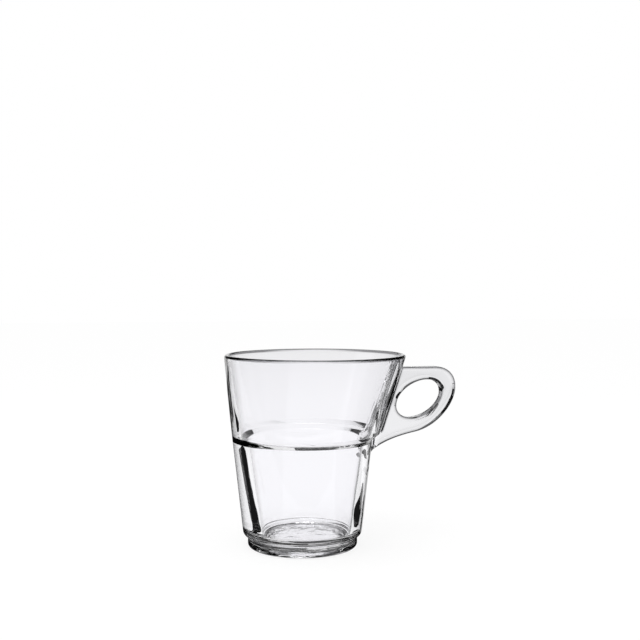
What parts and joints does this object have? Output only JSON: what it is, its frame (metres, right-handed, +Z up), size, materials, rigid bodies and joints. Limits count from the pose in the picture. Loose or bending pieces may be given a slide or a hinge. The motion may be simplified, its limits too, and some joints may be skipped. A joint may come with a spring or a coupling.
{
  "type": "coffee cup",
  "caption": "Clear glass coffee cup with a flared upper tier leaning towards a flat pierced handle, over a tapered lower tier on a stacking foot.",
  "frame": {"origin": "bottom centre of the cup's box, on the table; the foot's own axis stands 18.6 mm behind it, towards -X", "axes": "+X towards the handle, +Y across the cup, +Z up out of the mouth"},
  "size_m": [0.109, 0.0836, 0.088],
  "materials": {
    "glass": "clear pressed glass, fire-polished"
  },
  "bodies": {
    "root": {"foot_ring": "glass", "base": "glass", "lower_bowl": "glass", "upper_bowl": "glass", "handle": "glass"}
  },
  "joints": []
}
